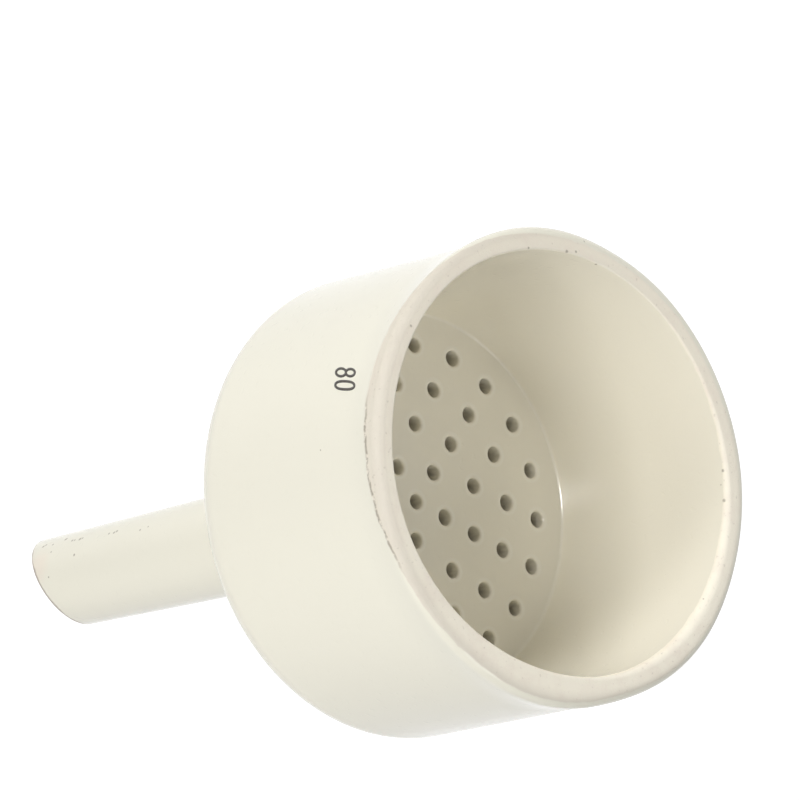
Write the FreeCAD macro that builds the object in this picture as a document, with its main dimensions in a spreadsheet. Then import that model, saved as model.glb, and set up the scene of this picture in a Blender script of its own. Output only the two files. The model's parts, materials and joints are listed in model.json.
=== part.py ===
import FreeCAD, Part
import math
import os
import Sketcher
from FreeCAD import Placement, Rotation, Vector

# A porcelain filter funnel: a round cup with a flared lip, a flat plate with rings of
# drain holes, and under it a cone that leads to a tapered stem cut off at a slant.
# Millimetres, +Z along the funnel's axis towards the mouth. The origin is on the axis
# where the cone meets the stem, which is where a bung's top comes when the funnel sits in it.

# Every driving size, with its place on the funnel.
SIZES = [
    ("cup_diameter", 74.5, "inside the cup, at the plate"),
    ("cup_draft", 4.25, "how much wider in radius the cup is at the mouth"),
    ("wall_thickness", 7.75, "of the cup's wall at the plate"),
    ("lip_flare", 1.36, "how far the lip's slope stands out past the wall"),
    ("flare_depth", 11.25, "mouth to where the flare runs out into the wall"),
    ("lip_outer_round", 1.8, "edge round of the lip, outside"),
    ("lip_inner_round", 0.8, "edge round of the lip, inside"),
    ("plate_depth", 43.2, "mouth to the plate's upper face"),
    ("plate_thickness", 4.0, "of the perforated plate"),
    ("plate_round", 1.0, "between plate and cup wall"),
    ("chamber_height", 5.79, "under the plate, at the wall"),
    ("chamber_round", 1.5, "in the chamber's corners"),
    ("cone_angle", 30.0, "of the base cone, from level"),
    ("cone_thickness", 5.0, "of the base cone"),
    ("shoulder_round", 7.4, "between wall and cone, outside"),
    ("neck_round", 4.0, "between cone and stem, outside"),
    ("throat_round", 5.0, "between chamber and stem bore"),
    ("stem_top_diameter", 21.0, "outside, at the cone"),
    ("stem_end_diameter", 18.6, "outside, at the slanted end"),
    ("stem_length", 78.3, "cone to the middle of the slanted end"),
    ("stem_bore", 11.0, "inside diameter of the stem"),
    ("bevel_angle", 31.0, "of the slanted end, from square"),
    ("hole_diameter", 3.0, "drain holes in the plate"),
    ("hole_pitch", 7.7, "from one ring of holes to the next"),
    ("hole_edge", 0.3, "width of the softened edge round each hole"),
    ("hole_row_angle", 90.0, "radial row that has a hole of every ring, from +X"),
]
HOLES_PER_STEP = 5  # each ring has this many more holes than the ring inside it
HOLE_EDGE_ANGLE = 90  # of the softened edge, between its two sides

doc = FreeCAD.newDocument("filter_funnel")


def fill_sheet():
    """The driving sizes, one a row: name, size and place."""
    sheet = doc.addObject("Spreadsheet::Sheet", "dims")
    for row, (name, size, place) in enumerate(SIZES, start=1):
        sheet.set(f"A{row}", name)
        sheet.set(f"B{row}", str(size))
        sheet.set(f"C{row}", place)
        sheet.setAlias(f"B{row}", name)
    doc.recompute()
    return sheet


dims = fill_sheet()

# Places worked out from the sizes. Radii are from the axis, depths from the mouth.
CUP_R = "(dims.cup_diameter / 2)"
MOUTH_R = f"({CUP_R} + dims.cup_draft)"
WALL_R = f"({CUP_R} + dims.wall_thickness)"
LIP_R = f"({WALL_R} + dims.lip_flare)"
RIM_FACE_R = f"(({MOUTH_R} + {LIP_R}) / 2)"
BORE_R = "(dims.stem_bore / 2)"
STEM_R = "(dims.stem_top_diameter / 2)"
STEM_END_R = "(dims.stem_end_diameter / 2)"
SLOPE = "tan(dims.cone_angle)"
PLATE_UNDERSIDE = "(dims.plate_depth + dims.plate_thickness)"
CHAMBER_FLOOR = f"({PLATE_UNDERSIDE} + dims.chamber_height)"
CONE_OFFSET = "(dims.cone_thickness / cos(dims.cone_angle))"
SHOULDER_DEPTH = f"({CHAMBER_FLOOR} + {CONE_OFFSET} - dims.wall_thickness * {SLOPE})"
NECK_DEPTH = f"({SHOULDER_DEPTH} + ({WALL_R} - {STEM_R}) * {SLOPE})"
THROAT_DEPTH = f"({CHAMBER_FLOOR} + ({CUP_R} - {BORE_R}) * {SLOPE})"
TIP_DEPTH = f"({NECK_DEPTH} + dims.stem_length)"
BEVEL_DROP = f"({STEM_R} * tan(dims.bevel_angle))"
STEM_BLANK_DEPTH = f"({TIP_DEPTH} + {BEVEL_DROP})"
STEM_TAPER = f"(({STEM_R} - {STEM_END_R}) / dims.stem_length)"
STEM_BLANK_R = f"({STEM_END_R} - {BEVEL_DROP} * {STEM_TAPER})"
FLARE_CORNER = "(dims.flare_depth * 2 / 3)"
FLARE_TURN = f"atan(dims.lip_flare / {FLARE_CORNER})"
FLARE_ROUND = f"(dims.flare_depth / 3 / tan({FLARE_TURN} / 2))"
LIP_OUTER_ROUND = "min(dims.lip_outer_round; dims.flare_depth / 6)"
CHAMBER_ROUND = "min(dims.chamber_round; dims.chamber_height / 2)"
CLEAR = "1"  # how far a cut runs past the face that it opens


def value(expression):
    """The number that a sheet expression gives."""
    result = dims.evalExpression(expression)
    return float(getattr(result, "Value", result))


def origin_feature(body, role):
    return next(f for f in body.Origin.OriginFeatures if f.Role == role)


def new_sketch(body, name, plane):
    sketch = body.newObject("Sketcher::SketchObject", name)
    sketch.AttachmentSupport = (origin_feature(body, plane), "")
    sketch.MapMode = "FlatFace"
    return sketch


def bind(sketch, name, expression, *constraint):
    """Adds a named dimension and ties it to the sheet."""
    index = sketch.addConstraint(Sketcher.Constraint(*constraint, value(expression)))
    sketch.renameConstraint(index, name)
    sketch.setExpression(f"Constraints.{name}", expression)


def place_corner(sketch, name, geometry, point, across, up):
    """Fixes one sketch point at the place that two expressions give."""
    for axis, kind, expression in ((-2, "DistanceX", across), (-1, "DistanceY", up)):
        if expression == "0":
            sketch.addConstraint(Sketcher.Constraint("PointOnObject", geometry, point, axis))
        else:
            suffix = "across" if kind == "DistanceX" else "up"
            bind(sketch, f"{name}_{suffix}", expression, kind, -1, 1, geometry, point)


def draw_outline(sketch, corners):
    """A closed outline through named corners, each sharp or rounded by a tangent arc.

    A corner is (name, across, up) or (name, across, up, round), all sheet expressions.
    """
    count = len(corners)
    points = [Vector(value(c[1]), value(c[2]), 0) for c in corners]
    rounds = [value(c[3]) if len(c) > 3 else 0.0 for c in corners]
    leave = [(points[(i + 1) % count] - points[i]).normalize() for i in range(count)]
    ends = []
    for i in range(count):
        arrive = leave[i - 1]
        turn = arrive.getAngle(leave[i])
        back = rounds[i] * math.tan(turn / 2)
        ends.append((points[i] - arrive * back, points[i] + leave[i] * back))
    lines = [
        sketch.addGeometry(Part.LineSegment(ends[i][1], ends[(i + 1) % count][0]), False)
        for i in range(count)
    ]
    for i, corner in enumerate(corners):
        name, across, up = corner[:3]
        before, after = lines[i - 1], lines[i]
        if len(corner) == 3:
            sketch.addConstraint(Sketcher.Constraint("Coincident", before, 2, after, 1))
            place_corner(sketch, name, after, 1, across, up)
            continue
        left_turn = leave[i - 1].cross(leave[i]).z > 0
        inward = Vector(-leave[i - 1].y, leave[i - 1].x, 0) * (1 if left_turn else -1)
        centre = ends[i][0] + inward * rounds[i]
        angles = [math.atan2(e.y - centre.y, e.x - centre.x) for e in ends[i]]
        if not left_turn:
            angles.reverse()
        circle = Part.Circle(centre, Vector(0, 0, 1), rounds[i])
        arc = sketch.addGeometry(Part.ArcOfCircle(circle, angles[0], angles[1]), False)
        first, last = (1, 2) if left_turn else (2, 1)
        sketch.addConstraint(Sketcher.Constraint("Tangent", before, 2, arc, first))
        sketch.addConstraint(Sketcher.Constraint("Tangent", arc, last, after, 1))
        bind(sketch, f"{name}_round", corner[3], "Radius", arc)
        point = sketch.addGeometry(Part.Point(points[i]), True)
        sketch.addConstraint(Sketcher.Constraint("PointOnObject", point, 1, before))
        sketch.addConstraint(Sketcher.Constraint("PointOnObject", point, 1, after))
        place_corner(sketch, name, point, 1, across, up)


def turned(body, kind, name, corners):
    """A revolution or groove of a half section about the funnel's axis."""
    sketch = new_sketch(body, f"{name}_section", "XZ_Plane")
    draw_outline(sketch, corners)
    feature = body.newObject(f"PartDesign::{kind}", name)
    feature.Profile = sketch
    feature.ReferenceAxis = (origin_feature(body, "Z_Axis"), [""])
    feature.Angle = 360
    doc.recompute()
    return feature


def drilled_ring(body, ring):
    """One ring of drain holes, or the single hole on the axis for ring 0."""
    sketch = new_sketch(body, f"ring_{ring}_place", "XY_Plane")
    sketch.setExpression("AttachmentOffset.Base.z", "-dims.plate_depth")
    sketch.setExpression("AttachmentOffset.Rotation.Angle", "dims.hole_row_angle")
    radius = value("dims.hole_diameter / 2")
    out = value(f"{ring} * dims.hole_pitch")
    circle = sketch.addGeometry(Part.Circle(Vector(out, 0, 0), Vector(0, 0, 1), radius), False)
    bind(sketch, "hole", "dims.hole_diameter", "Diameter", circle)
    if ring:
        sketch.addConstraint(Sketcher.Constraint("PointOnObject", circle, 3, -1))
        bind(sketch, "out", f"{ring} * dims.hole_pitch", "DistanceX", -1, 1, circle, 3)
    else:
        sketch.addConstraint(Sketcher.Constraint("Coincident", circle, 3, -1, 1))
    doc.recompute()
    hole = body.newObject("PartDesign::Hole", f"ring_{ring}_hole")
    hole.Profile = sketch
    doc.recompute()
    hole.DepthType = "Dimension"
    hole.DrillPoint = "Flat"
    hole.HoleCutType = "Countersink"
    hole.HoleCutCustomValues = True
    hole.HoleCutCountersinkAngle = HOLE_EDGE_ANGLE
    hole.setExpression("Diameter", "dims.hole_diameter")
    hole.setExpression("HoleCutDiameter", "dims.hole_diameter + 2 * dims.hole_edge")
    hole.setExpression("Depth", f"dims.plate_thickness + {CLEAR}")
    doc.recompute()
    if ring:
        pattern = body.newObject("PartDesign::PolarPattern", f"ring_{ring}")
        pattern.Originals = [hole]
        pattern.Axis = (origin_feature(body, "Z_Axis"), [""])
        pattern.Angle = 360
        pattern.Occurrences = ring * HOLES_PER_STEP
        body.Tip = pattern
        doc.recompute()


def slanted_end(body):
    """Cuts the stem off at a slant: the long side of the end is at -X."""
    sketch = new_sketch(body, "slant_section", "XZ_Plane")
    draw_outline(sketch, [
        ("long_side", f"-{STEM_R}", f"-{STEM_BLANK_DEPTH}"),
        ("below_long_side", f"-{STEM_R}", f"-{STEM_BLANK_DEPTH} - {CLEAR}"),
        ("below_short_side", STEM_R, f"-{STEM_BLANK_DEPTH} - {CLEAR}"),
        ("short_side", STEM_R, f"{BEVEL_DROP} - {TIP_DEPTH}"),
    ])
    cut = body.newObject("PartDesign::Pocket", "slant")
    cut.Profile = sketch
    cut.Midplane = True
    cut.setExpression("Length", f"2 * {STEM_R} + 2 * {CLEAR}")
    doc.recompute()


def make_funnel():
    """The whole funnel: turned outside, cup, chamber and bore, holes, slanted end."""
    body = doc.addObject("PartDesign::Body", "funnel_body")
    body.Label = "funnel_body"
    turned(body, "Revolution", "outside", [
        ("stem_foot", "0", f"-{STEM_BLANK_DEPTH}"),
        ("stem_end", STEM_BLANK_R, f"-{STEM_BLANK_DEPTH}"),
        ("neck", STEM_R, f"-{NECK_DEPTH}", "dims.neck_round"),
        ("shoulder", WALL_R, f"-{SHOULDER_DEPTH}", "dims.shoulder_round"),
        ("flare", WALL_R, f"-{FLARE_CORNER}", FLARE_ROUND),
        ("lip", LIP_R, "0", LIP_OUTER_ROUND),
        ("mouth_centre", "0", "0"),
    ])
    turned(body, "Groove", "cup", [
        ("plate_centre", "0", "-dims.plate_depth"),
        ("plate_edge", CUP_R, "-dims.plate_depth", "dims.plate_round"),
        ("lip_inside", MOUTH_R, "0", "dims.lip_inner_round"),
        ("past_lip_inside", RIM_FACE_R, "0"),
        ("above_rim_face", RIM_FACE_R, CLEAR),
        ("above_mouth", "0", CLEAR),
    ])
    turned(body, "Groove", "chamber", [
        ("underside", "0", f"-{PLATE_UNDERSIDE}"),
        ("bore_end", "0", f"-{STEM_BLANK_DEPTH} - {CLEAR}"),
        ("bore_edge", BORE_R, f"-{STEM_BLANK_DEPTH} - {CLEAR}"),
        ("throat", BORE_R, f"-{THROAT_DEPTH}", "dims.throat_round"),
        ("floor_edge", CUP_R, f"-{CHAMBER_FLOOR}", CHAMBER_ROUND),
        ("underside_edge", CUP_R, f"-{PLATE_UNDERSIDE}", CHAMBER_ROUND),
    ])
    rings = math.floor(value(
        f"({CUP_R} - dims.plate_round - dims.hole_diameter / 2 - dims.hole_edge) / dims.hole_pitch"
    ))
    for ring in range(rings + 1):
        drilled_ring(body, ring)
    slanted_end(body)
    body.setExpression("Placement.Base.z", NECK_DEPTH)
    doc.recompute()
    return body


def check_document(sub_parts):
    """Stops before anything is written if a feature failed or a shape isn't sound."""
    for thing in doc.Objects:
        if "Invalid" in thing.State or "Error" in thing.State:
            raise RuntimeError(f"{thing.Name} failed: {thing.State}")
    for part in sub_parts:
        if part.Shape.isNull() or not part.Shape.isValid() or len(part.Shape.Solids) != 1:
            raise RuntimeError(f"{part.Label} isn't one sound solid")


funnel = make_funnel()
check_document([funnel])
os.makedirs("parts", exist_ok=True)
funnel.Shape.exportStep(f"parts/{funnel.Label}.step")
box = funnel.Shape.optimalBoundingBox()
print(f"{funnel.Label}: {box.XLength:.2f} x {box.YLength:.2f} x {box.ZLength:.2f} mm")
print(f"lowest {box.ZMin:.2f} mm, highest {box.ZMax:.2f} mm")
print(f"volume {funnel.Shape.Volume / 1000:.1f} cm3, faces {len(funnel.Shape.Faces)}")
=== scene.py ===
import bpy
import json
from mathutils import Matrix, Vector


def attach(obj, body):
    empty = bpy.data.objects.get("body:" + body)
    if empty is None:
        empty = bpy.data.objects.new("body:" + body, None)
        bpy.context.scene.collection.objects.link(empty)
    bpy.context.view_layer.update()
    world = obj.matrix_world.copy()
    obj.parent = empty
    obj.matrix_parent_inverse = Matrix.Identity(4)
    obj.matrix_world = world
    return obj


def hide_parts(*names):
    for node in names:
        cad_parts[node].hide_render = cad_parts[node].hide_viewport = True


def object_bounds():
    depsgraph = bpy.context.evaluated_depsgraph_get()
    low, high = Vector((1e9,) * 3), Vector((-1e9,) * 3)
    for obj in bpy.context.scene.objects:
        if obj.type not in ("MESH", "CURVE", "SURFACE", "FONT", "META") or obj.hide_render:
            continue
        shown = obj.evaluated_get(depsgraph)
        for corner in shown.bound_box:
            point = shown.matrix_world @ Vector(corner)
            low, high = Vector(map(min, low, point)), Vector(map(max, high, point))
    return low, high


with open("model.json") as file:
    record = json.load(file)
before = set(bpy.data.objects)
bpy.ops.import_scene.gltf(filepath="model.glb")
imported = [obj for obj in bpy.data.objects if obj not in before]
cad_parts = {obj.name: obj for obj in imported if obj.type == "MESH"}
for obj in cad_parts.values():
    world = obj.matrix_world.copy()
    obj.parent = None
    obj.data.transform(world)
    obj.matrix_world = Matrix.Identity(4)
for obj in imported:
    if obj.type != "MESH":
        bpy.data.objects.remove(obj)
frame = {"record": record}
cadBox = [list(corner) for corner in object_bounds()]

import json
import math
import random

import bmesh
import bpy
from mathutils import Quaternion, Vector, noise
from mathutils.geometry import delaunay_2d_cdt

# Glazed porcelain filter funnel, mouth up, origin where the cone meets the stem.
# Lengths in the dictionaries are millimetres, angles are degrees.
mm = 0.001
mountPlace = {mount["name"]: mount["pos_m"] for mount in frame["record"]["mounts"]}
mouthHeight = mountPlace["rim"][2] / mm
plateHeight = mountPlace["filter_plate"][2] / mm


# camera
cameraSet = {
    "distance": 1700.43,
    "aim": (-4.377, -27.953, 56.224),
    "azimuth": 35.2936,
    "elevation": 48.4467,
    "roll": 76.3581,
    "lens": 405.21,
}


def directionFrom(azimuth, elevation):
    # unit vector from the funnel towards that azimuth and elevation, azimuth 0 is the -Y side
    a, e = math.radians(azimuth), math.radians(elevation)
    return Vector((math.sin(a) * math.cos(e), -math.cos(a) * math.cos(e), math.sin(e)))


def addCamera(settings):
    camera = bpy.data.objects.new("photo_camera", bpy.data.cameras.new("photo_camera"))
    bpy.context.scene.collection.objects.link(camera)
    back = directionFrom(settings["azimuth"], settings["elevation"])
    turn = Quaternion((0, 0, 1), math.radians(settings["roll"]))
    camera.rotation_mode = "QUATERNION"
    camera.rotation_quaternion = back.to_track_quat("Z", "Y") @ turn
    camera.location = (Vector(settings["aim"]) + back * settings["distance"]) * mm
    camera.data.lens = settings["lens"]
    camera.data.sensor_width = 36
    camera.data.clip_end = 20
    bpy.context.scene.camera = camera


addCamera(cameraSet)
print("camera placed")


# outline of the funnel
bodyShape = {
    "cupRadius": 37.25,  # at the plate
    "cupDraft": 4.25,   # how much wider the cup is at the mouth
    "wall": 7.75,       # at the plate
    "lipFlare": 1.36,
    "flareCorner": 7.5,
    "flareRound": 41.7,
    "lipOuterRound": 1.8,
    "lipInnerRound": 0.45,
    "lipInnerSoft": (1.3, 75, 45),  # softer by so much, at that angle, so wide
    "plateRound": 0.6,
    "plateThickness": 4.0,
    "chamberHeight": 5.79,
    "chamberRound": 1.5,
    "coneAngle": 30.0,
    "shoulderRound": 7.4,
    "neckRound": 4.0,
    "throatRound": 5.0,
    "stemTopRadius": 10.5,
    "stemEndRadius": 9.3,
    "stemLength": 78.3,
    "boreRadius": 5.5,
    "bevelAngle": 31.0,
    "stemEdgeRound": 0.5,
    "turns": 256,
    "sway": 0.10,       # how far the cast wall wanders in and out
    # where the soft rim was pulled off its circle: angle, how far, how wide
    "innerPulls": [(-60, 0.45, 30), (-110, 0.85, 44), (10, -1.95, 38)],
    "outerPulls": [(35, -0.73, 15), (70, 0.50, 16), (110, 0.34, 25), (-153, 0.39, 18), (180, -0.15, 10)],
}
mouthRadius = bodyShape["cupRadius"] + bodyShape["cupDraft"]
wallRadius = bodyShape["cupRadius"] + bodyShape["wall"]
lipRadius = wallRadius + bodyShape["lipFlare"]
coneSlope = math.tan(math.radians(bodyShape["coneAngle"]))
bevelSlope = math.tan(math.radians(bodyShape["bevelAngle"]))
plateUnder = plateHeight - bodyShape["plateThickness"]
chamberFloor = plateUnder - bodyShape["chamberHeight"]
shoulderHeight = (wallRadius - bodyShape["stemTopRadius"]) * coneSlope
throatHeight = chamberFloor - (bodyShape["cupRadius"] - bodyShape["boreRadius"]) * coneSlope
plateRim = bodyShape["cupRadius"] - bodyShape["plateRound"]


def outlineCorners(angle):
    # (radius, height, rounding, steps round it, steps along the run before it)
    s = bodyShape
    innerRound = s["lipInnerRound"] + pulled(angle, [(s["lipInnerSoft"][1], s["lipInnerSoft"][0],
                                                      s["lipInnerSoft"][2])])
    lean = math.cos(angle) * bevelSlope
    taper = (s["stemTopRadius"] - s["stemEndRadius"]) / s["stemLength"]
    tipHeight = (s["stemTopRadius"] * lean - s["stemLength"]) / (1 - taper * lean)
    tipRadius = s["stemTopRadius"] + taper * tipHeight
    boreTip = s["boreRadius"] * lean - s["stemLength"]
    return [
        (plateRim, plateHeight, 0, 0, 0),
        (s["cupRadius"], plateHeight, s["plateRound"], 10, 1),
        (mouthRadius, mouthHeight, innerRound, 8, 26),
        (lipRadius, mouthHeight, s["lipOuterRound"], 10, 6),
        (wallRadius, mouthHeight - s["flareCorner"], s["flareRound"], 8, 2),
        (wallRadius, shoulderHeight, s["shoulderRound"], 14, 22),
        (s["stemTopRadius"], 0, s["neckRound"], 8, 14),
        (tipRadius, tipHeight, s["stemEdgeRound"], 5, 34),
        (s["boreRadius"], boreTip, s["stemEdgeRound"], 4, 3),
        (s["boreRadius"], throatHeight, s["throatRound"], 6, 16),
        (s["cupRadius"], chamberFloor, s["chamberRound"], 4, 10),
        (s["cupRadius"], plateUnder, s["chamberRound"], 4, 1),
        (plateRim, plateUnder, 0, 0, 1),
    ]


def roundedOutline(corners):
    points = [Vector(corners[0][:2])]
    for before, corner, after in zip(corners, corners[1:], corners[2:]):
        here = Vector(corner[:2])
        back = (Vector(before[:2]) - here).normalized()
        ahead = (Vector(after[:2]) - here).normalized()
        half = back.angle(ahead) / 2
        start = here + back * corner[2] / math.tan(half)
        centre = here + (back + ahead).normalized() * corner[2] / math.sin(half)
        points += runBetween(points[-1], start, corner[4])
        arm = start - centre
        sweep = math.copysign(math.pi - 2 * half, back.x * ahead.y - back.y * ahead.x)
        for step in range(corner[3] + 1):
            t = -sweep * step / corner[3]
            points.append(centre + Vector((arm.x * math.cos(t) - arm.y * math.sin(t),
                                           arm.x * math.sin(t) + arm.y * math.cos(t))))
    points += runBetween(points[-1], Vector(corners[-1][:2]), corners[-1][4])
    points.append(Vector(corners[-1][:2]))
    return points


def runBetween(start, end, steps):
    # the points between two others, ends left out
    return [start.lerp(end, step / steps) for step in range(1, steps)]


def smooth(value, low, high):
    t = min(max((value - low) / (high - low), 0), 1)
    return t * t * (3 - 2 * t)


def pulled(angle, pulls):
    total = 0
    for middle, amount, width in pulls:
        off = (math.degrees(angle) - middle + 180) % 360 - 180
        total += amount * math.exp(-(off / width) ** 2)
    return total


def inPlace(angle, radius, height):
    # the cast wall isn't perfectly round: a slow sway, and the rim pulled in and out
    around = Vector((math.cos(angle) * 1.3 + 7, math.sin(angle) * 1.3, height / 45))
    sway = bodyShape["sway"] * noise.noise(around) * (0.5 + 0.5 * smooth(radius, 8, 30))
    outward = smooth(radius, mouthRadius + 0.6, lipRadius - 1.4)
    inner = pulled(angle, bodyShape["innerPulls"]) * smooth(height, plateHeight + 10, mouthHeight - 1)
    outer = pulled(angle, bodyShape["outerPulls"]) * smooth(height, mouthHeight - 14, mouthHeight - 2)
    reach = (radius + sway + inner * (1 - outward) + outer * outward) * mm
    return Vector((reach * math.cos(angle), reach * math.sin(angle), height * mm))


# the perforated plate
plateHoles = {
    "rings": 4,
    "pitch": 7.7,
    "firstAngle": 90.0,
    "radius": 1.5,
    "topRound": 0.42,
    "underRound": 0.3,
    "segments": 32,
    "wander": 0.10,     # how far each hole was punched off its place
    "grid": 1.5,
    "ripple": 0.035,
    "bead": 0.04,       # the glaze swells a little round each hole
}


def holePlaces():
    pick = random.Random(8)
    places = [(0.0, 0.0)]
    for ring in range(1, plateHoles["rings"] + 1):
        for index in range(5 * ring):
            angle = math.radians(plateHoles["firstAngle"] + index * 72 / ring)
            reach = plateHoles["pitch"] * ring
            places.append((reach * math.cos(angle), reach * math.sin(angle)))
    return [(x + pick.uniform(-1, 1) * plateHoles["wander"],
             y + pick.uniform(-1, 1) * plateHoles["wander"],
             plateHoles["radius"] * pick.uniform(0.97, 1.03),
             pick.uniform(0, math.pi)) for x, y in places]


drainHoles = holePlaces()


def holeLoop(place, grow, segments):
    # slightly oval, as a hole punched in soft clay is
    x, y, radius, tilt = place
    loop = []
    for step in range(segments):
        angle = 2 * math.pi * step / segments
        reach = radius * (1 + 0.02 * math.cos(2 * (angle - tilt))) + grow
        loop.append(Vector((x + reach * math.cos(angle), y + reach * math.sin(angle))))
    return loop


def edgeGap(point):
    # how far the point lies outside the nearest hole
    return min((point - Vector(place[:2])).length - place[2] for place in drainHoles)


def plateRipple(point):
    fade = 1 - smooth(point.length, plateRim - 4, plateRim - 0.5)
    bead = plateHoles["bead"] * math.exp(-((edgeGap(point) - 0.7) / 0.35) ** 2)
    return bead + plateHoles["ripple"] * fade * noise.noise(Vector((point.x / 9, point.y / 9, 3)))


def filledRegion(outer, holes, inner):
    # flat triangles inside the outer loop and outside the holes, with the inner points worked in
    points = list(outer)
    edges = loopEdges(0, len(outer))
    for hole in holes:
        edges += loopEdges(len(points), len(hole))
        points += hole
    points += inner
    flat, _, faces, _, _, _ = delaunay_2d_cdt(points, edges, [], 0, 1e-6)
    rounds = [(hole, *roundWith(hole)) for hole in holes]
    kept = []
    for face in faces:
        middle = sum((flat[i] for i in face), Vector((0, 0))) / len(face)
        inHole = any((middle - centre).length < reach and insideLoop(middle, hole)
                     for hole, centre, reach in rounds)
        if insideLoop(middle, outer) and not inHole:
            kept.append(tuple(face))
    return flat, kept


def roundWith(loop):
    # the circle that holds a loop, for a cheap first look
    centre = sum(loop, Vector((0, 0))) / len(loop)
    return centre, max((point - centre).length for point in loop)


def loopEdges(start, count):
    return [(start + i, start + (i + 1) % count) for i in range(count)]


def insideLoop(point, loop):
    inside = False
    for a, b in zip(loop, loop[1:] + loop[:1]):
        if (a.y > point.y) != (b.y > point.y):
            if point.x < (b.x - a.x) * (point.y - a.y) / (b.y - a.y) + a.x:
                inside = not inside
    return inside


def hexGrid(reach, pitch):
    # evenly spread points, row by row, every second row shifted half a step
    rows = int(reach / (pitch * 0.866)) + 1
    return [Vector(((i + 0.5 * (row % 2)) * pitch, row * pitch * 0.866))
            for row in range(-rows, rows + 1) for i in range(-rows, rows + 1)]


# the porcelain mesh
def joinLoops(faces, first, second, count):
    for i in range(count):
        j = (i + 1) % count
        faces.append((first + i, first + j, second + j, second + i))


def turnedSurface(points, faces, runs):
    turns = bodyShape["turns"]
    meridians = [roundedOutline(outlineCorners(2 * math.pi * i / turns)) for i in range(turns)]
    for row in range(len(meridians[0])):
        for i in range(turns):
            radius, height = meridians[i][row]
            points.append(inPlace(2 * math.pi * i / turns, radius, height))
            runs.append(rimRun(radius, height))
        if row:
            joinLoops(faces, (row - 1) * turns, row * turns, turns)
    return len(meridians[0])


def rimRun(radius, height):
    # way over the rim from the mouth's inner edge: below 0 inside the cup, above 0 on top and outside
    down = mouthHeight - height
    return radius - mouthRadius + (down if radius > mouthRadius + 2 else -down)


def perforatedPlate(points, faces, rows):
    turns = bodyShape["turns"]
    top, under = plateHoles["topRound"], plateHoles["underRound"]
    for height, firstRow, grow, flip in ((plateHeight, 0, top, False),
                                         (plateUnder, rows - 1, under, True)):
        outer = [Vector(p[:2]) / mm for p in points[firstRow * turns:(firstRow + 1) * turns]]
        holes = [holeLoop(place, grow, plateHoles["segments"]) for place in drainHoles]
        inner = [p for p in hexGrid(plateRim, plateHoles["grid"])
                 if p.length < plateRim - 0.8 and edgeGap(p) > grow + 1.2]
        for extra in (0.35, 0.8):
            inner += [p for place in drainHoles for p in holeLoop(place, grow + extra, 24)]
        flat, triangles = filledRegion(outer, holes, inner)
        start = len(points)
        points += [Vector((p.x, p.y, height + plateRipple(p))) * mm for p in flat]
        faces += [tuple(start + i for i in (reversed(t) if flip else t)) for t in triangles]
    for place in drainHoles:
        holeWall(points, faces, place, top, under)


def holeGaps(points):
    # for the finish: how far each point of the plate's face is from a hole, the rest far off
    gaps = []
    for point in points:
        flat = Vector(point[:2]) / mm
        onPlate = abs(point.z / mm - plateHeight) < 0.5 and flat.length < plateRim
        gaps.append(edgeGap(flat) if onPlate else 9.0)
    return gaps


def holeWall(points, faces, place, top, under):
    segments = plateHoles["segments"]
    rings = [(top * (1 - math.sin(t)), plateHeight, -top * (1 - math.cos(t)))
             for t in [math.pi / 2 * k / 6 for k in range(7)]]
    rings += [(0, (plateHeight * (3 - k) + plateUnder * k) / 3, 0) for k in (1, 2)]
    rings += [(under * (1 - math.cos(t)), plateUnder, under * (1 - math.sin(t)))
              for t in [math.pi / 2 * k / 4 for k in range(5)]]
    start = len(points)
    for grow, level, drop in rings:
        for p in holeLoop(place, grow, segments):
            points.append(Vector((p.x, p.y, level + drop + plateRipple(p))) * mm)
    for ring in range(len(rings) - 1):
        joinLoops(faces, start + ring * segments, start + (ring + 1) * segments, segments)


def meshPiece(name, points, faces, material, measures=None):
    mesh = bpy.data.meshes.new(name)
    mesh.from_pydata([tuple(p) for p in points], [], faces)
    for measure, values in (measures or {}).items():
        mesh.attributes.new(measure, "FLOAT", "POINT").data.foreach_set("value", values)
    work = bmesh.new()
    work.from_mesh(mesh)
    bmesh.ops.remove_doubles(work, verts=work.verts, dist=1e-7)
    loose = [vert for vert in work.verts if not vert.link_faces]
    bmesh.ops.delete(work, geom=loose, context="VERTS")
    bmesh.ops.recalc_face_normals(work, faces=work.faces)
    work.to_mesh(mesh)
    work.free()
    mesh.shade_smooth()
    mesh.materials.append(material)
    piece = bpy.data.objects.new(name, mesh)
    bpy.context.scene.collection.objects.link(piece)
    return piece


# material helpers
def openMaterial(name):
    material = bpy.data.materials.new(name)
    material.use_nodes = True
    material.node_tree.nodes.clear()
    return material, material.node_tree


def feed(tree, socket, value):
    if isinstance(value, bpy.types.NodeSocket):
        tree.links.new(value, socket)
    else:
        socket.default_value = value


def addNode(tree, kind, inputs, **settings):
    node = tree.nodes.new(kind)
    for key, value in settings.items():
        setattr(node, key, value)
    for key, value in inputs.items():
        feed(tree, node.inputs[key], value)
    return node


def calc(tree, operation, *values):
    return addNode(tree, "ShaderNodeMath", dict(enumerate(values)), operation=operation).outputs[0]


def rise(tree, value, low, high):
    # 0 below low, 1 above high, soft between; high below low turns it round
    node = addNode(tree, "ShaderNodeMapRange", {0: value, 1: min(low, high), 2: max(low, high)},
                   interpolation_type="SMOOTHSTEP")
    if high < low:
        node.inputs[3].default_value, node.inputs[4].default_value = 1, 0
    return node.outputs[0]


def grain(tree, place, scale, detail=2.0, roughness=0.5, distortion=0.0):
    return addNode(tree, "ShaderNodeTexNoise", {"Vector": place, "Scale": scale, "Detail": detail,
                   "Roughness": roughness, "Distortion": distortion}).outputs[0]


def blend(tree, factor, first, second):
    node = addNode(tree, "ShaderNodeMix", {0: factor, 6: first, 7: second}, data_type="RGBA")
    return node.outputs[2]


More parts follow.
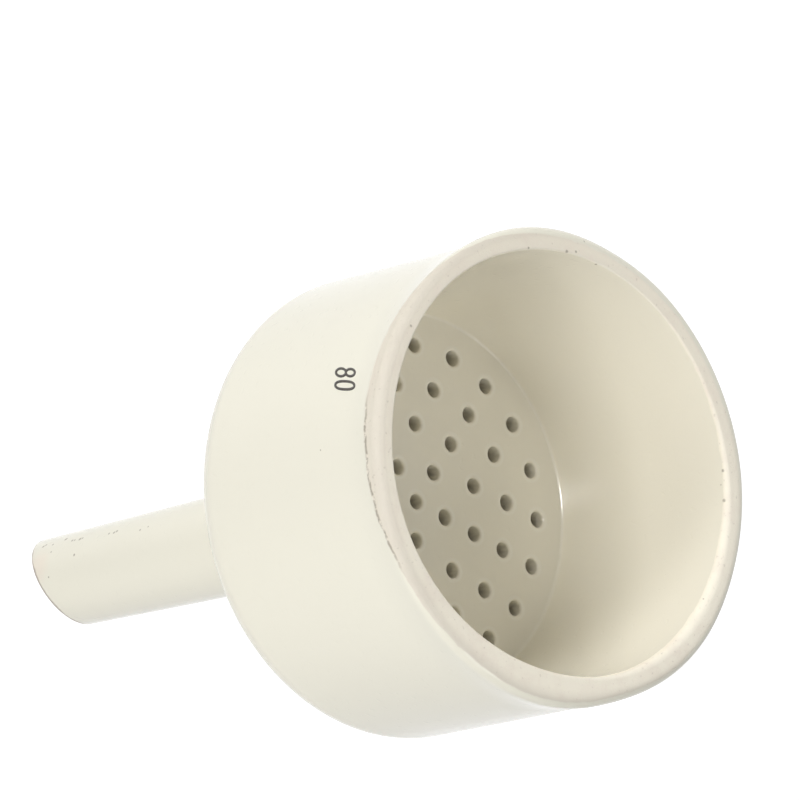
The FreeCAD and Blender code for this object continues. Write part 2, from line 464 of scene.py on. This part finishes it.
def finishWith(tree, shader):
    addNode(tree, "ShaderNodeOutputMaterial", {"Surface": shader})


# porcelain: cream glaze, bare fired rim and stem end, iron specks
porcelainFinish = {
    "glaze": (0.84, 0.815, 0.695, 1),
    "glazeWarm": (0.84, 0.81, 0.69, 1),
    # the glaze in the cup, painted a little darker and warmer as shade
    "glazeShadedInCup": (0.845, 0.806, 0.69, 1),
    # the next two are one bare body, painted as shaded and as lit for either side of the rim
    "bareShadedSide": (0.855, 0.795, 0.67, 1),
    "bareLitSide": (0.95, 0.895, 0.76, 1),
    "barePink": (0.82, 0.72, 0.62, 1),
    # painted shade over the rim's outer rounding
    "roundingShade": (0.66, 0.61, 0.52, 1),
    # where the bare body is painted lightest, and where the glaze stops soonest
    "thinAndLitAngle": 50.0,
    # painted highlight for the ring round each hole
    "holeEdgeHighlight": (0.90, 0.885, 0.80, 1),
    "stain": (0.22, 0.18, 0.17, 1),
    "stemPink": (0.86, 0.73, 0.62, 1),
    "speck": (0.21, 0.165, 0.11, 1),
    "glazeRoughness": 0.12,
    "glazeShine": 0.4,      # specular level
    "bareRoughness": 0.8,
    # way over the rim from the mouth's inner edge at which the glaze stops and starts again
    "bareFrom": 0.1,
    "thinGlaze": 2.0,       # how much sooner it stops on the far side, the side also painted lighter
    "bareTo": 3.3,
    "bareTilt": 0.7,        # how much the band widens towards its tilt angle
    "bareTiltAngle": -20.0,
    "bareSwell": 5.0,       # how much further the bare band runs down the outside on one side
    "bareSwellAngle": -85.0,
    "bareSwellWidth": 78.0,
    "edgeWaver": 1.3,
    "roundingShadeFrom": (1.8, 4.0),  # the painted shade on the outer rounding starts over this way
    "roundingShadeFades": (7.5, 5.0),
    "roundingShadeShare": 0.4,
    "roundingShadeMore": 0.35,       # added where it hasn't faded
    "blushShare": 0.45,
    "pitShare": 0.16,
    "haloShare": 0.3,
    "stemEndBare": 0.5,
    "flushPlace": (-76, -83),  # height and angle
    "flushShare": 0.4,
    "stainShare": 0.6,
    "speckShare": 0.6,
    "speckLineAngle": -62.0,
    "speckLineHalf": 24.0,
}
# iron specks along the stem and on the wall: height, angle, radius of the speck
ironSpecks = [
    (-76.8, -114, 0.46), (-76.2, -116, 0.36), (-73.5, -113, 0.34), (-72.5, -99.5, 0.26),
    (-69.9, -118, 0.50), (-66.9, -111, 0.40), (-66.0, -110.5, 0.36), (-64.2, -110, 0.50),
    (-63.4, -110.5, 0.36), (-63.9, -86.5, 0.38), (-54.2, -106, 0.34), (-52.5, -105.5, 0.40),
    (-51.7, -107, 0.44), (-43.3, -99, 0.34), (-40.9, -101, 0.26), (-72.0, -66, 0.24),
    (56.4, -73, 0.24),
]
# iron specks at the rim: angle, way over the rim, radius of the speck
rimSpecks = [
    (114.1, -0.9, 0.40), (110.4, -1.6, 0.32), (106.1, -0.9, 0.44), (-150.8, 0.3, 0.30),
    (-163.9, 0.3, 0.42), (-167.0, 0.7, 0.36), (-169.6, 3.4, 0.30), (-174.7, -0.5, 0.34),
    (74.3, -0.5, 0.36), (77.3, -0.8, 0.26), (54.7, -0.5, 0.30), (61.8, 0.4, 0.26),
    (-115.5, 3.9, 0.34), (-102.9, 1.8, 0.36), (-42.4, 5.2, 0.38), (-39.4, 4.7, 0.34),
]


def glazeEdges(tree, place, angle, run):
    # where the glaze stops at the rim, with a wavering edge that swells down one side
    f = porcelainFinish
    waver = calc(tree, "SUBTRACT", grain(tree, place, 260, 4, 0.6), 0.5)
    swayed = calc(tree, "MULTIPLY_ADD", waver, f["edgeWaver"], run)
    swellTurn = calc(tree, "ABSOLUTE", calc(tree, "SUBTRACT", angle, math.radians(f["bareSwellAngle"])))
    swell = calc(tree, "MULTIPLY", rise(tree, swellTurn, math.radians(f["bareSwellWidth"]), 0),
                 f["bareSwell"])
    tilt = calc(tree, "COSINE", calc(tree, "SUBTRACT", angle, math.radians(f["bareTiltAngle"])))
    bareTo = calc(tree, "ADD", calc(tree, "MULTIPLY_ADD", tilt, f["bareTilt"], f["bareTo"]), swell)
    pastEdge = calc(tree, "SUBTRACT", swayed, bareTo)
    # on the far side the glaze thins out below the mouth's edge already, and the same side mask paints the
    # bare body lighter there as painted light
    turned = calc(tree, "COSINE", calc(tree, "SUBTRACT", angle, math.radians(f["thinAndLitAngle"])))
    thinAndLitSide = calc(tree, "MULTIPLY_ADD", turned, 0.5, 0.5)
    overEdge = calc(tree, "MULTIPLY_ADD", calc(tree, "POWER", thinAndLitSide, 2.0), f["thinGlaze"], swayed)
    rim = calc(tree, "MULTIPLY", rise(tree, overEdge, f["bareFrom"] - 0.4, f["bareFrom"] + 0.4),
               rise(tree, pastEdge, 0.2, -0.2))
    return waver, thinAndLitSide, pastEdge, rim


def glazeColour(tree, place, reach, z):
    # slow clouds, and a warmer, slightly darker tone in the cup: painted shade of the deep cup
    f = porcelainFinish
    cloud = grain(tree, place, 22, 1, 0.4)
    glaze = blend(tree, cloud, f["glaze"], f["glazeWarm"])
    cupShadeMask = calc(tree, "MULTIPLY", rise(tree, reach, 43.4 * mm, 42.4 * mm),
                 rise(tree, z, (plateUnder - 1) * mm, plateUnder * mm))
    return cloud, blend(tree, cupShadeMask, glaze, f["glazeShadedInCup"])


def bareColour(tree, place, run, thinAndLitSide):
    # the fired body: painted lighter on one side, pinker in places, with painted shade over the outer
    # rounding, finely pitted
    f = porcelainFinish
    # painted light and shade: the bare body lighter on the side that faces the light, darker on the other
    body = blend(tree, thinAndLitSide, f["bareShadedSide"], f["bareLitSide"])
    blush = rise(tree, grain(tree, place, 150, 4, 0.65), 0.42, 0.72)
    body = blend(tree, calc(tree, "MULTIPLY", blush, f["blushShare"]), body, f["barePink"])
    share = calc(tree, "MULTIPLY_ADD", rise(tree, run, *f["roundingShadeFades"]), f["roundingShadeMore"], f["roundingShadeShare"])
    roundingShadeMask = calc(tree, "MULTIPLY", rise(tree, run, *f["roundingShadeFrom"]), share)
    body = blend(tree, roundingShadeMask, body, f["roundingShade"])
    pits = rise(tree, grain(tree, place, 1200, 1, 0.5), 0.66, 0.76)
    return blend(tree, calc(tree, "MULTIPLY", pits, f["pitShare"]), body, f["speck"])


def stemEndColour(tree, place, reach, waver, endGap, colour):
    # a pink flush on one side and a dark stain along the cut's outer edge
    f = porcelainFinish
    flush = addNode(tree, "ShaderNodeVectorMath", {0: place, 1: tuple(onStemOrWall(*f["flushPlace"]))},
                    operation="DISTANCE").outputs["Value"]
    flush = rise(tree, calc(tree, "MULTIPLY_ADD", waver, 2 * mm, flush), 5 * mm, 1.5 * mm)
    colour = blend(tree, calc(tree, "MULTIPLY", flush, f["flushShare"]), colour, f["stemPink"])
    cutEdge = rise(tree, calc(tree, "ABSOLUTE", calc(tree, "SUBTRACT", endGap, 0.3 * mm)),
                   0.5 * mm, 0.2 * mm)
    cutEdge = calc(tree, "MULTIPLY", cutEdge, rise(tree, reach, (bodyShape["stemEndRadius"] - 0.5) * mm,
                                                   (bodyShape["stemEndRadius"] - 0.1) * mm))
    return blend(tree, calc(tree, "MULTIPLY", cutEdge, f["stainShare"]), colour, f["stain"])


def speckMask(tree, place, angle, pastEdge):
    # a crowded dark line where the rim's glaze crawled, and the placed specks
    f = porcelainFinish
    lineBand = rise(tree, calc(tree, "ABSOLUTE", calc(tree, "ADD", pastEdge, 0.25)), 0.5, 0.1)
    lineArc = rise(tree, calc(tree, "ABSOLUTE", calc(tree, "SUBTRACT", angle,
                   math.radians(f["speckLineAngle"]))), math.radians(f["speckLineHalf"]),
                   math.radians(f["speckLineHalf"] * 0.6))
    crumbs = rise(tree, grain(tree, place, 900, 3, 0.6), 0.36, 0.56)
    specks = calc(tree, "MULTIPLY", calc(tree, "MULTIPLY", lineBand, lineArc), crumbs)
    ragged = grain(tree, place, 1500, 2, 0.6)
    spots = [(onStemOrWall(height, turn), size) for height, turn, size in ironSpecks]
    spots += [(onRim(turn, along), size) for turn, along, size in rimSpecks]
    for spot, size in spots:
        specks = calc(tree, "MAXIMUM", specks, speckSpot(tree, place, ragged, spot, size))
    return specks


def porcelainBump(tree, place, bare):
    # soft orange peel and pinholes in the glaze, fine tooth on the bare body
    peel = grain(tree, place, 120, 2, 0.5)
    pin = rise(tree, grain(tree, place, 800, 0, 0.5), 0.28, 0.2)
    glazeBump = addNode(tree, "ShaderNodeBump", {"Strength": 0.05, "Distance": 0.0006, "Height": peel})
    pinBump = addNode(tree, "ShaderNodeBump", {"Strength": 0.2, "Distance": 0.0001, "Height": pin,
                                               "Normal": glazeBump.outputs[0]}, invert=True)
    tooth = grain(tree, place, 2600, 3, 0.65)
    return addNode(tree, "ShaderNodeBump", {"Strength": calc(tree, "MULTIPLY", bare, 0.6),
                   "Distance": 0.00015, "Height": tooth, "Normal": pinBump.outputs[0]}).outputs[0]


def porcelainMaterial():
    f = porcelainFinish
    material, tree = openMaterial("cream glazed porcelain")
    place = addNode(tree, "ShaderNodeTexCoord", {}).outputs["Object"]
    x, y, z = addNode(tree, "ShaderNodeSeparateXYZ", {0: place}).outputs
    angle = calc(tree, "ARCTAN2", y, x)
    reach = calc(tree, "SQRT", calc(tree, "MULTIPLY_ADD", x, x, calc(tree, "MULTIPLY", y, y)))
    run = addNode(tree, "ShaderNodeAttribute", {}, attribute_name="rimRun").outputs["Fac"]
    holeGap = addNode(tree, "ShaderNodeAttribute", {}, attribute_name="holeGap").outputs["Fac"]

    waver, thinAndLitSide, pastEdge, rim = glazeEdges(tree, place, angle, run)
    # the cut face at the stem's end
    endGap = calc(tree, "ADD", calc(tree, "MULTIPLY_ADD", x, -bevelSlope, z), bodyShape["stemLength"] * mm)
    endGap = calc(tree, "MULTIPLY_ADD", waver, 1.0 * mm, endGap)
    stemEnd = rise(tree, endGap, (f["stemEndBare"] + 0.2) * mm, (f["stemEndBare"] - 0.1) * mm)
    bare = calc(tree, "MAXIMUM", rim, stemEnd)

    cloud, glaze = glazeColour(tree, place, reach, z)
    colour = blend(tree, bare, glaze, bareColour(tree, place, run, thinAndLitSide))
    # a paler ring round each hole: painted highlight where the rounded glaze edge catches the light
    halo = rise(tree, calc(tree, "ABSOLUTE", calc(tree, "SUBTRACT", holeGap, 0.7)), 0.45, 0.1)
    colour = blend(tree, calc(tree, "MULTIPLY", halo, f["haloShare"]), colour, f["holeEdgeHighlight"])
    colour = stemEndColour(tree, place, reach, waver, endGap, colour)
    specks = speckMask(tree, place, angle, pastEdge)
    colour = blend(tree, calc(tree, "MULTIPLY", specks, f["speckShare"]), colour, f["speck"])

    sheen = calc(tree, "MULTIPLY_ADD", cloud, 0.04, f["glazeRoughness"])
    rough = addNode(tree, "ShaderNodeMix", {0: bare, 2: sheen, 3: f["bareRoughness"]}).outputs[0]
    shader = addNode(tree, "ShaderNodeBsdfPrincipled", {
        "Base Color": colour, "Roughness": rough, "IOR": 1.5,
        "Specular IOR Level": f["glazeShine"], "Normal": porcelainBump(tree, place, bare)})
    finishWith(tree, shader.outputs[0])
    return material


def onStemOrWall(height, turn):
    taper = (bodyShape["stemTopRadius"] - bodyShape["stemEndRadius"]) / bodyShape["stemLength"]
    onWallSide = height > shoulderHeight
    return inPlace(math.radians(turn), wallRadius if onWallSide else
                   bodyShape["stemTopRadius"] + taper * height, height)


def onRim(turn, along):
    # down inside the mouth below 0, across the rim's face, then down the outside
    face = lipRadius - mouthRadius
    down = max(-along, along - face, 0)
    return inPlace(math.radians(turn), mouthRadius + min(max(along, 0), face - 0.3), mouthHeight - down)


def speckSpot(tree, place, ragged, spot, size):
    # an uneven dark fleck centred on that spot
    gap = addNode(tree, "ShaderNodeVectorMath", {0: place, 1: tuple(spot)}, operation="DISTANCE")
    edge = calc(tree, "MULTIPLY_ADD", ragged, 0.8 * size * mm, gap.outputs["Value"])
    return rise(tree, edge, 1.5 * size * mm, 0.7 * size * mm)


porcelain = porcelainMaterial()
points, faces, runs = [], [], []
outlineRows = turnedSurface(points, faces, runs)
perforatedPlate(points, faces, outlineRows)
runs += [rimRun(0, plateHeight)] * (len(points) - len(runs))
funnel = meshPiece("porcelain_funnel", points, faces, porcelain,
                   {"rimRun": runs, "holeGap": holeGaps(points)})
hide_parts("funnel_body")
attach(funnel, "root")
print("porcelain funnel:", len(funnel.data.polygons), "faces")


# printed size number on the wall, two plain digits
printedNumber = {
    "angle": -90.0,
    "depth": 13.1,      # middle of the digits below the mouth
    "height": 6.75,
    "width": 2.45,
    "pitch": 2.95,
    "stroke": 0.62,
    "rise": 16.4,       # how the line of digits climbs round the wall
    "lean": 11.1,       # how the digits lean the other way
    "flatStroke": 1.2,  # how much thicker the strokes are at top and bottom
    "grid": 0.35,
    "proud": 0.02,
    "sunk": 0.03,
    "colour": (0.035, 0.03, 0.022, 1),
    "thinColour": (0.07, 0.06, 0.045, 1),
}


def roundLoop(middle, reach, square, steps=64):
    # an oval, squarer where square is above 1
    loop = []
    for step in range(steps):
        a = 2 * math.pi * step / steps
        c, s = math.cos(a), math.sin(a)
        loop.append(Vector((middle[0] + reach[0] * math.copysign(abs(c) ** (1 / square), c),
                            middle[1] + reach[1] * math.copysign(abs(s) ** (1 / square), s))))
    return loop


def digitZero(across):
    p = printedNumber
    reach = (p["width"] / 2, p["height"] / 2)
    inner = (reach[0] - p["stroke"], reach[1] - p["stroke"] * p["flatStroke"])
    return roundLoop((across, 0), reach, 1.2), [roundLoop((across, 0), inner, 1.15)]


def digitEight(across):
    # two bowls that overlap at the waist by one stroke, the upper one a little smaller
    p = printedNumber
    flat = p["stroke"] * p["flatStroke"]
    lower = (p["width"] / 2, (p["height"] + flat) * 0.26)
    upper = (p["width"] * 0.47, (p["height"] + flat) * 0.24)
    lowerMiddle, upperMiddle = lower[1] - p["height"] / 2, p["height"] / 2 - upper[1]

    def halfWidth(level):
        sides = [reach[0] * math.sqrt(max(0, 1 - ((level - middle) / reach[1]) ** 2))
                 for reach, middle in ((lower, lowerMiddle), (upper, upperMiddle))]
        return max(sides)

    levels = [-p["height"] / 2 * math.cos(math.pi * k / 56) for k in range(57)]
    right = [Vector((across + halfWidth(level), level)) for level in levels]
    left = [Vector((across - halfWidth(level), level)) for level in reversed(levels[1:-1])]
    bowls = [roundLoop((across, middle), (reach[0] - p["stroke"], reach[1] - flat), 1.0, 48)
             for reach, middle in ((lower, lowerMiddle), (upper, upperMiddle))]
    return right + left, bowls


def outerRadius(height):
    # the wall's radius at that height, read off the same outline as the mesh
    line = [p for p in roundedOutline(outlineCorners(0)) if p.x > 44.9 and p.y < mouthHeight - 1]
    for above, below in zip(line, line[1:]):
        if below.y <= height <= above.y:
            return below.x + (above.x - below.x) * (height - below.y) / (above.y - below.y)
    return wallRadius


def onWall(point, proud):
    # from the flat print (across, up) to its place on the wall
    p = printedNumber
    climb, lean = math.radians(p["rise"]), math.radians(p["lean"])
    around = point.x * math.cos(climb) + point.y * math.sin(lean)
    up = point.x * math.sin(climb) + point.y * math.cos(lean)
    height = mouthHeight - p["depth"] + up
    angle = math.radians(p["angle"]) + around / wallRadius
    return inPlace(angle, outerRadius(height) + proud, height)


def printMaterial():
    material, tree = openMaterial("fired dark print")
    place = addNode(tree, "ShaderNodeTexCoord", {}).outputs["Object"]
    patchy = rise(tree, grain(tree, place, 1400, 3, 0.6), 0.35, 0.75)
    colour = blend(tree, patchy, printedNumber["colour"], printedNumber["thinColour"])
    bump = addNode(tree, "ShaderNodeBump", {"Strength": 0.2, "Distance": 0.00005,
                                            "Height": grain(tree, place, 2200, 2, 0.6)})
    shader = addNode(tree, "ShaderNodeBsdfPrincipled", {
        "Base Color": colour, "Roughness": calc(tree, "MULTIPLY_ADD", patchy, 0.15, 0.28),
        "IOR": 1.5, "Normal": bump.outputs[0]})
    finishWith(tree, shader.outputs[0])
    return material


def addPrint():
    points, faces = [], []
    p = printedNumber
    for outer, holes in (digitEight(-p["pitch"] / 2), digitZero(p["pitch"] / 2)):
        loops = [outer] + holes
        clear = [q for q in hexGrid(p["height"], p["grid"]) if all((q - edge).length > p["grid"] * 0.5
                                                                   for loop in loops for edge in loop)]
        flat, triangles = filledRegion(outer, holes, clear)
        for proud, flip in ((p["proud"], False), (-p["sunk"], True)):
            start = len(points)
            points += [onWall(q, proud) for q in flat]
            faces += [tuple(start + i for i in (reversed(t) if flip else t)) for t in triangles]
        for loop in loops:
            start = len(points)
            points += [onWall(q, p["proud"]) for q in loop] + [onWall(q, -p["sunk"]) for q in loop]
            joinLoops(faces, start, start + len(loop), len(loop))
    number = meshPiece("printed_number", points, faces, printMaterial())
    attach(number, "root")
    print("printed number:", len(number.data.polygons), "faces")


addPrint()


# floor, plain light and the white surroundings
studio = {
    "floorBelowTip": 18.0,
    "floorSize": 30.0,          # metres
    "floorColour": (0.50, 0.50, 0.50, 1),
    "floorGlow": 0.70,      # what lifts it to white where it is seen
    "skyLight": 0.33,
    "skyColour": (1.0, 1.0, 1.0, 1),
}
# name, azimuth, elevation, distance, width, height (metres), watts, colour
softboxes = [
    ("front_softbox", 24.0, 26.0, 1.4, 0.6, 0.5, 10.0, (1.0, 1.0, 1.0)),
    ("side_softbox", -69.0, 22.0, 1.4, 0.5, 0.5, 9.1, (1.0, 1.0, 1.0)),
    ("back_softbox", 119.0, 42.0, 1.4, 0.5, 0.5, 3.4, (1.0, 1.0, 1.0)),
    ("low_softbox", 62.0, 5.0, 1.4, 0.5, 0.4, 3.0, (1.0, 1.0, 1.0)),
]
# a strip that only shows as a bright line in the glaze, at the plate's corner
shineStrip = ("shine_strip", 19.0, 33.0, 1.4, 0.26, 0.1, 34.0, (1.0, 1.0, 1.0))


def seenDirectly(tree):
    # camera, mirror and see-through rays get the plain white surroundings
    rays = addNode(tree, "ShaderNodeLightPath", {})
    return calc(tree, "MAXIMUM", calc(tree, "MAXIMUM", rays.outputs["Is Camera Ray"],
                                      rays.outputs["Is Glossy Ray"]),
                rays.outputs["Is Transmission Ray"])


def addFloor():
    half = studio["floorSize"] / 2
    lowest = cadBox[0][2] - studio["floorBelowTip"] * mm
    mesh = bpy.data.meshes.new("white_floor")
    mesh.from_pydata([(-half, -half, lowest), (half, -half, lowest), (half, half, lowest),
                      (-half, half, lowest)], [], [(0, 1, 2, 3)])
    floor = bpy.data.objects.new("white_floor", mesh)
    bpy.context.scene.collection.objects.link(floor)
    material, tree = openMaterial("white paper floor")
    paper = addNode(tree, "ShaderNodeBsdfDiffuse", {"Color": studio["floorColour"]})
    glow = addNode(tree, "ShaderNodeEmission", {
        "Strength": calc(tree, "MULTIPLY", seenDirectly(tree), studio["floorGlow"])})
    lit = addNode(tree, "ShaderNodeAddShader", {0: paper.outputs[0], 1: glow.outputs[0]})
    clear = addNode(tree, "ShaderNodeBsdfTransparent", {})
    under = addNode(tree, "ShaderNodeNewGeometry", {}).outputs["Backfacing"]
    # seen from below the floor is clear, so the underside can be looked at
    finishWith(tree, addNode(tree, "ShaderNodeMixShader", {0: under, 1: lit.outputs[0],
                                                           2: clear.outputs[0]}).outputs[0])
    mesh.materials.append(material)


def addSky():
    sky = bpy.data.worlds.new("white_room")
    bpy.context.scene.world = sky
    sky.use_nodes = True
    tree = sky.node_tree
    tree.nodes.clear()
    direct = seenDirectly(tree)
    soft = addNode(tree, "ShaderNodeBackground", {0: studio["skyColour"], 1: studio["skyLight"]})
    white = addNode(tree, "ShaderNodeBackground", {0: (1, 1, 1, 1), 1: 1.0})
    mixed = addNode(tree, "ShaderNodeMixShader", {0: direct, 1: soft.outputs[0], 2: white.outputs[0]})
    addNode(tree, "ShaderNodeOutputWorld", {"Surface": mixed.outputs[0]})


def addSoftbox(name, azimuth, elevation, distance, width, height, watts, colour):
    lamp = bpy.data.lights.new(name, "AREA")
    lamp.shape, lamp.size, lamp.size_y = "RECTANGLE", width, height
    lamp.energy, lamp.color = watts, colour
    holder = bpy.data.objects.new(name, lamp)
    bpy.context.scene.collection.objects.link(holder)
    towards = directionFrom(azimuth, elevation)
    holder.location = Vector((0, 0, 0.02)) + towards * distance
    holder.rotation_mode = "QUATERNION"
    holder.rotation_quaternion = towards.to_track_quat("Z", "Y")
    return holder


addFloor()
addSky()
for softbox in softboxes:
    addSoftbox(*softbox)
addSoftbox(*shineStrip).visible_diffuse = False
bpy.context.scene.view_settings.view_transform = "Standard"
print("floor and light placed")
